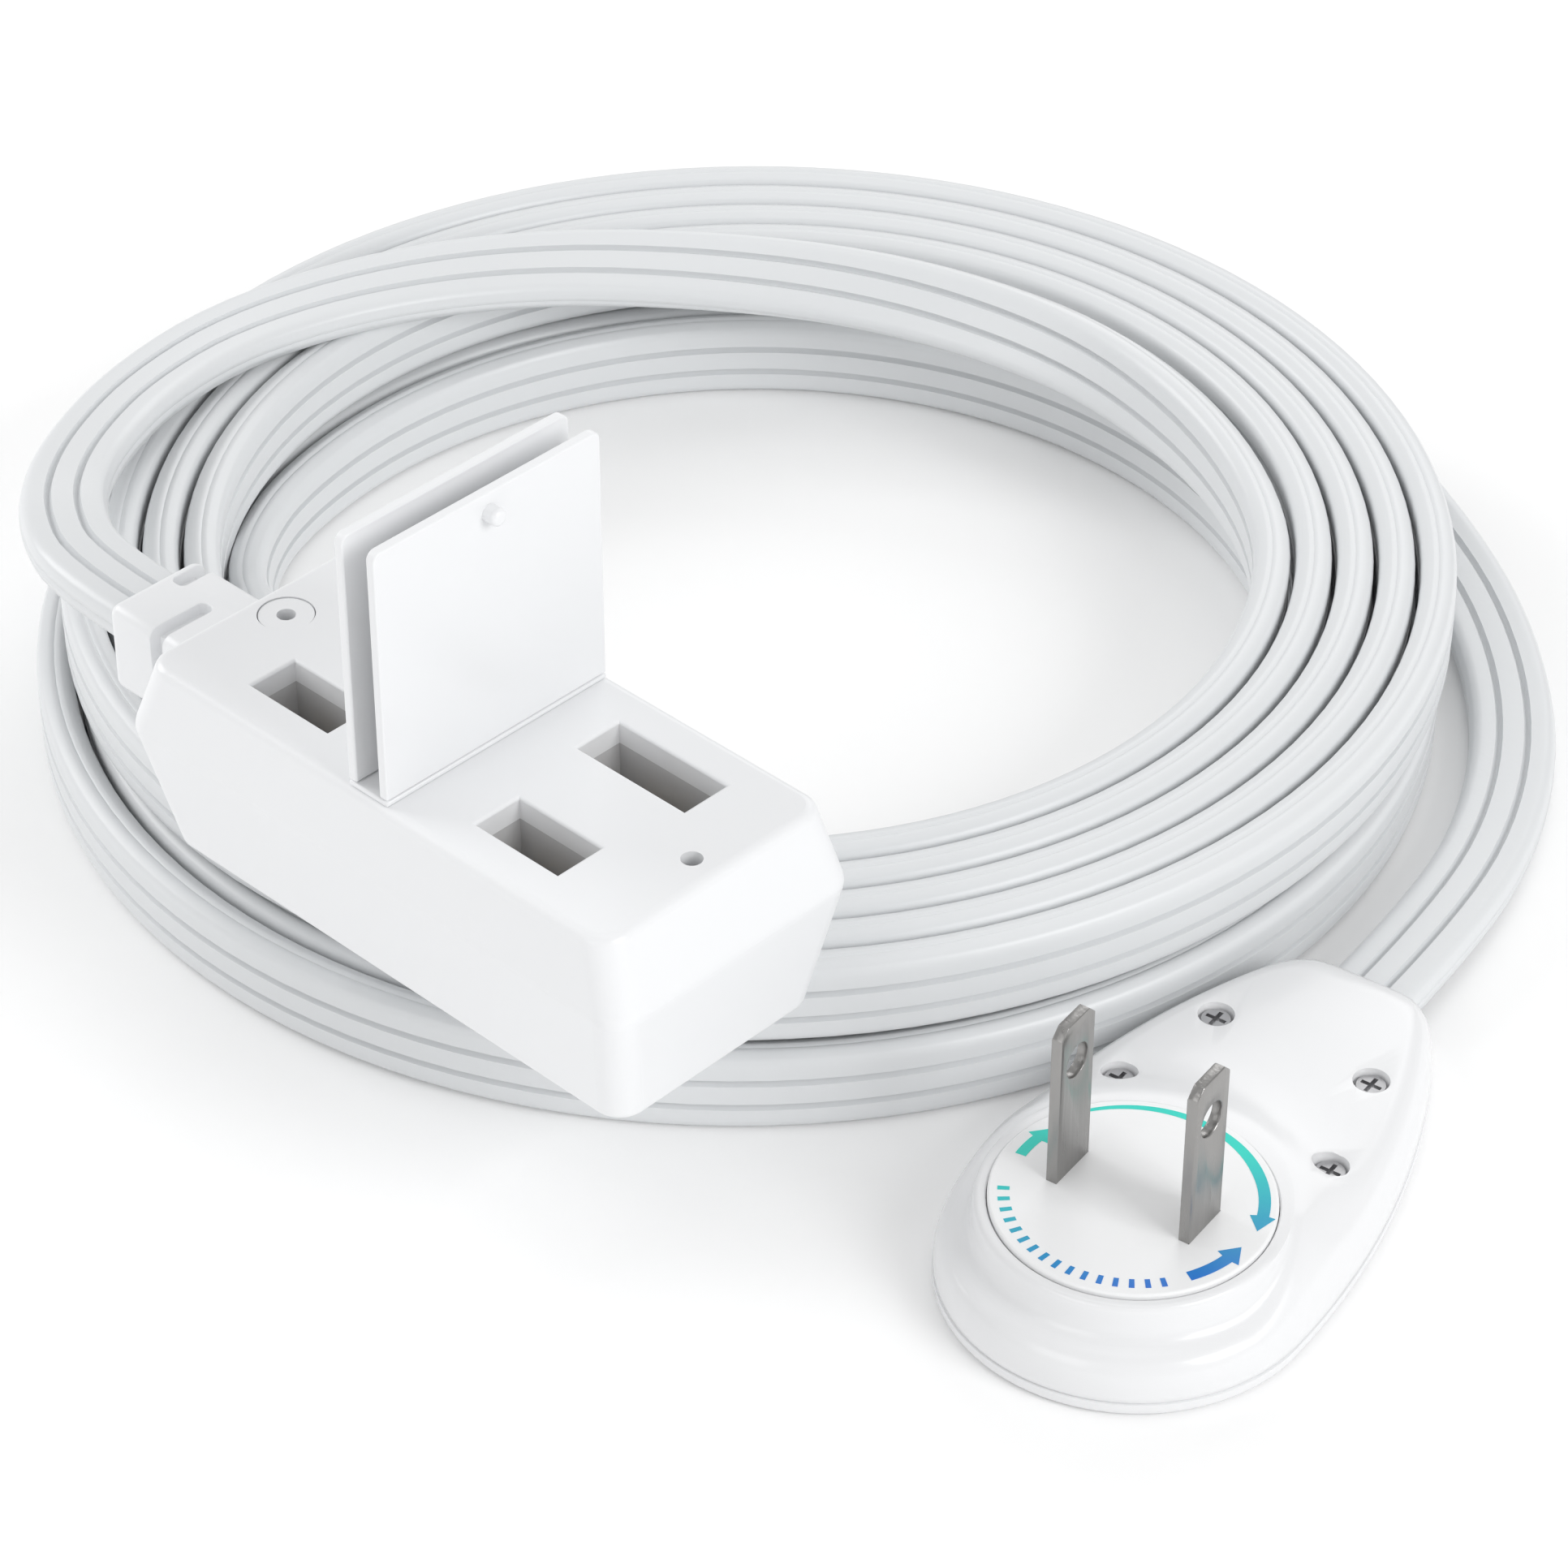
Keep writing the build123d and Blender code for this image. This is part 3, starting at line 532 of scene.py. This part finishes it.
def give_thickness(flat):
    """Raise a flat print to a very thin solid with outward faces."""
    select_only(flat)
    bpy.ops.object.mode_set(mode="EDIT")
    bpy.ops.mesh.select_all(action="SELECT")
    bpy.ops.mesh.remove_doubles(threshold=0.001 * MM)
    bpy.ops.mesh.extrude_region_move(TRANSFORM_OT_translate={"value": (0, 0, PRINT_T)})
    bpy.ops.mesh.select_all(action="SELECT")
    bpy.ops.mesh.normals_make_consistent(inside=False)
    bpy.ops.object.mode_set(mode="OBJECT")
    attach(flat, "plug_rotor")
    return flat


def arrow(name, start, stop, tip, middle_r, half, head_half):
    """A band from start to stop in degrees, with a head that ends at the tip's angle."""
    band = spun_band(name, start, stop, middle_r - half, middle_r + half)
    neck = on_disc(stop, middle_r)
    ahead = on_disc(tip, middle_r) - neck
    bpy.ops.mesh.extrude_edges_move(TRANSFORM_OT_translate={"value": ahead * 0.03})
    widen = head_half / half
    bpy.ops.transform.resize(value=(widen, widen, 1), center_override=neck)
    bpy.ops.mesh.extrude_edges_move(TRANSFORM_OT_translate={"value": ahead})
    bpy.ops.mesh.merge(type="CENTER")
    bpy.ops.object.mode_set(mode="OBJECT")
    return band


START_WIDTH = 0.35      # of the full width, where a tapered arrow begins


def taper_start(band, start, until, middle_r):
    """Thin a band towards its start, as a drawn swoosh is."""
    for vertex in band.data.vertices:
        away = vertex.co - PLUG_CENTRE
        angle = degrees(atan2(away.y, away.x))
        share = min(max((start - angle) / (start - until), 0), 1)
        middle = on_disc(angle, middle_r)
        if share < 1:
            vertex.co = middle.lerp(vertex.co, START_WIDTH + (1 - START_WIDTH) * share)


# %% The three arrows and the ticks between them
long_arrow = arrow("arrow_long", 150, 30, 20.5, 10.75, 0.5, 1.05)
taper_start(long_arrow, 150, 60, 11.1)
arrows = [long_arrow, arrow("arrow_left", -165, -179, -188.5, 10.3, 0.48, 1.05),
          arrow("arrow_low", -24, -3, 6.5, 10.5, 0.52, 1.15)]
TICKS = 16
TICK_STEP = 7           # degrees from one tick to the next
tick = spun_band("printed_ticks", -142, -139.6, 10.1, 11.1)
bpy.ops.object.mode_set(mode="OBJECT")
copies = []
for i in range(1, TICKS):
    copy = bpy.data.objects.new("tick", tick.data.copy())
    bpy.context.collection.objects.link(copy)
    turn = (Matrix.Translation(PLUG_CENTRE) @ Matrix.Rotation(radians(TICK_STEP * i), 4, "Z")
            @ Matrix.Translation(-PLUG_CENTRE))
    copy.data.transform(turn)
    copies.append(copy)
select_only(*copies, tick)
bpy.ops.object.join()
printed = [give_thickness(flat) for flat in arrows + [tick]]
print("printed", [p.name for p in printed], [len(p.data.vertices) for p in printed])


# %% [markdown]
# ## Finishes
# Every moulded part here is white, yet each white differs: the block is satin, the plug is
# shinier, and the cord is a cooler, softer vinyl. Small changes of roughness and a fine bump
# keep a moulded surface from looking like paper.

# %% Material helpers
def new_material(name, color, roughness, **inputs):
    """A plain material, with any other shader inputs by name."""
    material = bpy.data.materials.new(name)
    material.use_nodes = True
    shader = material.node_tree.nodes["Principled BSDF"]
    shader.inputs["Base Color"].default_value = (*color, 1)
    shader.inputs["Roughness"].default_value = roughness
    for key, value in inputs.items():
        shader.inputs[key.replace("_", " ")].default_value = value
    return material


def grain(material, scale, bump, rough_low, rough_high, detail=4, squash=(1, 1, 1)):
    """Fine noise on object coordinates: a slight bump and a little variation of roughness."""
    tree = material.node_tree
    shader = tree.nodes["Principled BSDF"]
    coordinates = tree.nodes.new("ShaderNodeTexCoord")
    mapping = tree.nodes.new("ShaderNodeMapping")
    mapping.inputs["Scale"].default_value = squash
    noise = tree.nodes.new("ShaderNodeTexNoise")
    noise.inputs["Scale"].default_value = scale
    noise.inputs["Detail"].default_value = detail
    spread = tree.nodes.new("ShaderNodeMapRange")
    spread.inputs["To Min"].default_value = rough_low
    spread.inputs["To Max"].default_value = rough_high
    bumps = tree.nodes.new("ShaderNodeBump")
    bumps.inputs["Strength"].default_value = bump
    bumps.inputs["Distance"].default_value = 0.0002
    link = tree.links.new
    link(coordinates.outputs["Object"], mapping.inputs["Vector"])
    link(mapping.outputs["Vector"], noise.inputs["Vector"])
    link(noise.outputs["Fac"], spread.inputs["Value"])
    link(spread.outputs["Result"], shader.inputs["Roughness"])
    link(noise.outputs["Fac"], bumps.inputs["Height"])
    link(bumps.outputs["Normal"], shader.inputs["Normal"])
    return material


def dress(piece, material):
    """Give a piece this one material."""
    piece.data.materials.clear()
    piece.data.materials.append(material)


# %% The finishes
white_shell = grain(new_material("white_shell", (0.83, 0.838, 0.85), 0.28),
                    2600, 0.03, 0.26, 0.34)
white_plug = grain(new_material("white_plug", (0.82, 0.825, 0.835), 0.2), 2600, 0.02, 0.17, 0.24)
rotor_white = grain(new_material("rotor_white", (0.88, 0.885, 0.89), 0.4), 1200, 0.10, 0.34, 0.5)
cord_vinyl = grain(new_material("cord_vinyl", (0.725, 0.74, 0.752), 0.34), 1800, 0.05, 0.3, 0.4)
dark_carrier = grain(new_material("dark_carrier", (0.55, 0.55, 0.555), 0.55), 900, 0.2, 0.5, 0.7)
core_skin = grain(new_material("core_skin", (0.75, 0.76, 0.78), 0.45), 900, 0.1, 0.4, 0.5)
brass = grain(new_material("contact_brass", (0.72, 0.53, 0.24), 0.3, Metallic=1.0),
              600, 0.1, 0.22, 0.4)
nickel = grain(new_material("blade_nickel", (0.34, 0.334, 0.327), 0.26, Metallic=1.0),
               220, 0.25, 0.2, 0.42, squash=(9, 9, 0.6))
zinc = grain(new_material("screw_zinc", (0.5, 0.5, 0.51), 0.35, Metallic=1.0),
             800, 0.15, 0.28, 0.45)
dress(cord, cord_vinyl)


def print_ramp(material):
    """Teal on one side of the disc running to blue on the other."""
    tree = material.node_tree
    shader = tree.nodes["Principled BSDF"]
    coordinates = tree.nodes.new("ShaderNodeTexCoord")
    mapping = tree.nodes.new("ShaderNodeMapping")
    mapping.vector_type = "TEXTURE"
    mapping.inputs["Location"].default_value = PLUG_CENTRE
    mapping.inputs["Rotation"].default_value = (0, 0, radians(-41))
    mapping.inputs["Scale"].default_value = (0.0215, 0.0215, 0.0215)
    separate = tree.nodes.new("ShaderNodeSeparateXYZ")
    shift = tree.nodes.new("ShaderNodeMath")
    shift.inputs[1].default_value = 0.5
    ramp = tree.nodes.new("ShaderNodeValToRGB")
    ramp.color_ramp.elements[0].position = 0.3
    ramp.color_ramp.elements[0].color = (0.017, 0.65, 0.54, 1)
    ramp.color_ramp.elements[1].position = 1.0
    ramp.color_ramp.elements[1].color = (0.012, 0.16, 0.6, 1)
    middle = ramp.color_ramp.elements.new(0.64)
    middle.color = (0.015, 0.38, 0.53, 1)
    link = tree.links.new
    link(coordinates.outputs["Object"], mapping.inputs["Vector"])
    link(mapping.outputs["Vector"], separate.inputs["Vector"])
    link(separate.outputs["X"], shift.inputs[0])
    link(shift.outputs["Value"], ramp.inputs["Fac"])
    link(ramp.outputs["Color"], shader.inputs["Base Color"])
    return material


rotor_ink = print_ramp(grain(new_material("rotor_ink", (0.1, 0.5, 0.5), 0.4), 900, 0.08, 0.3, 0.5))
for flat in printed:
    dress(flat, rotor_ink)

finish_of = {
    "white_shell": white_shell, "white_flap": white_shell, "plug_shell": white_plug,
    "rotor_white": rotor_white, "dark_carrier": dark_carrier, "relief_vinyl": white_shell,
    "core_insulation": core_skin, "contact_brass": brass, "blade_metal": nickel,
    "screw_steel": zinc}
for entry in frame["record"]["subparts"]:
    if entry["material_slot"] in finish_of:
        node = nodes[entry["node"]]
        for slot in node.material_slots:
            slot.material = finish_of[entry["material_slot"]]
dress(plug_front, white_plug)
dress(plug_back, white_plug)
dress(relief, white_shell)
dress(strip, white_shell)
for blade in blades:
    dress(blade, nickel)

# %% [markdown]
# ## Floor and light
# A plain pale floor, a soft light on each side and a weak one above. The right and left lights
# are the strongest, and the back one draws the edges of the coil's turns.

# %% Floor
select_only()
bpy.ops.mesh.primitive_plane_add(size=6, location=(0, 0, -0.00005))
floor = bpy.context.object
floor.name = "floor"
pale_floor = new_material("pale_floor", (0.98, 0.98, 0.98), 0.8)
floor_shader = pale_floor.node_tree.nodes["Principled BSDF"]
floor_shader.inputs["Emission Color"].default_value = (1, 1, 1, 1)
floor_shader.inputs["Emission Strength"].default_value = 0.02
dress(floor, pale_floor)


# %% Lights
def soft_light(name, place, target, size, power):
    """A square area light of this size in metres and power in watts, aimed at the target."""
    light = bpy.data.lights.new(name, "AREA")
    light.shape = "SQUARE"
    light.size = size
    light.energy = power
    lamp = bpy.data.objects.new(name, light)
    bpy.context.collection.objects.link(lamp)
    lamp.location = place
    lamp.rotation_euler = (Vector(target) - Vector(place)).to_track_quat("-Z", "Y").to_euler()


AIM = (0, 0.03, 0)
soft_light("right", (0.8, 0.1, 0.5), AIM, 0.45, 3.6)
soft_light("top", (0, 0.1, 0.9), AIM, 0.5, 0.6)
soft_light("back", (-0.4, 0.9, 0.5), AIM, 0.6, 1.75)
soft_light("front", (0.1, -0.85, 0.45), AIM, 0.5, 1.2)
soft_light("left", (-0.85, -0.2, 0.5), AIM, 0.5, 3.5)
world = bpy.data.worlds.new("studio")
world.use_nodes = True
world.node_tree.nodes["Background"].inputs["Color"].default_value = (1, 1, 1, 1)
world.node_tree.nodes["Background"].inputs["Strength"].default_value = 0.566
bpy.context.scene.world = world
bpy.context.scene.view_settings.view_transform = "Standard"
